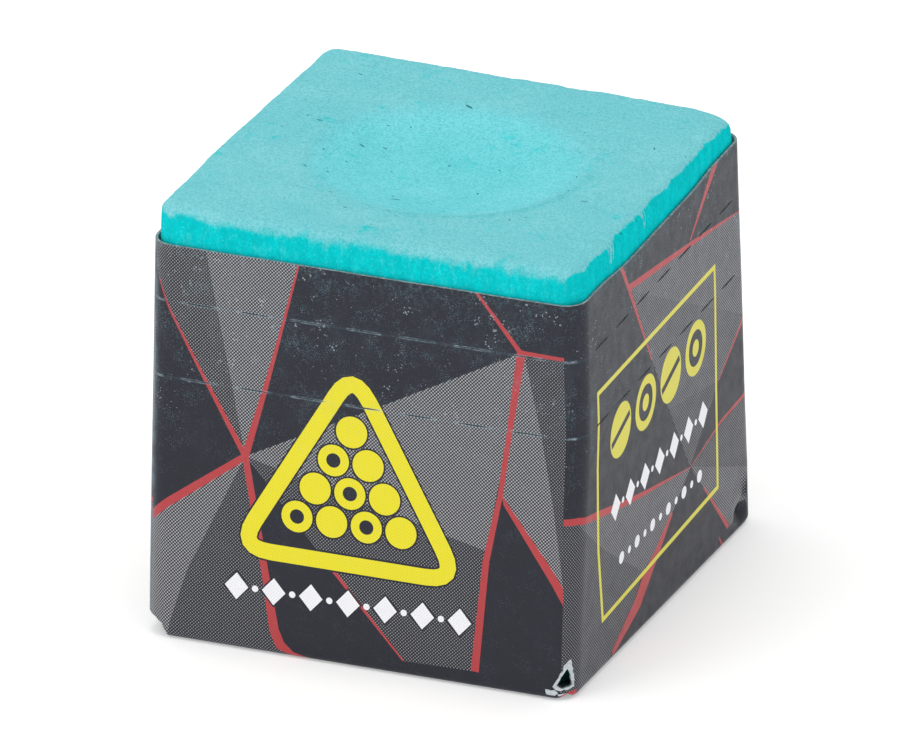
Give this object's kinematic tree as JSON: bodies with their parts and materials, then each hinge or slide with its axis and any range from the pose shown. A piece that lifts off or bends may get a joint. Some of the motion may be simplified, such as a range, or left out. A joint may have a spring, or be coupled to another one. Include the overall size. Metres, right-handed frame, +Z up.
{
  "type": "cue chalk cube",
  "caption": "Small square block of pressed cue chalk with a shallow dish in its top, in a printed paper wrapper with tear-off bands that come away as the chalk wears down.",
  "frame": {"origin": "centre of the underside of the cube", "axes": "+Z up through the dish, -Y out of the front printed face, +X to the right of the front face"},
  "size_m": [0.0222, 0.0223, 0.0218],
  "materials": {
    "pressed_chalk": "matte",
    "printed_paper": "satin",
    "dried_glue": "satin"
  },
  "bodies": {
    "cube": {"chalk_block": "pressed_chalk", "wrapper_sleeve": "printed_paper", "sleeve_glue": "dried_glue", "band_glue": "dried_glue"},
    "lower_band": {"lower_tear_band": "printed_paper"},
    "upper_band": {"upper_tear_band": "printed_paper"}
  },
  "joints": [
    {"name": "lower_band_lift", "type": "slide", "parent": "cube", "child": "lower_band", "axis": [0, 0, 1], "range_m": [0, 0.01]},
    {"name": "upper_band_lift", "type": "slide", "parent": "lower_band", "child": "upper_band", "axis": [0, 0, 1], "range_m": [0, 0.006]}
  ]
}
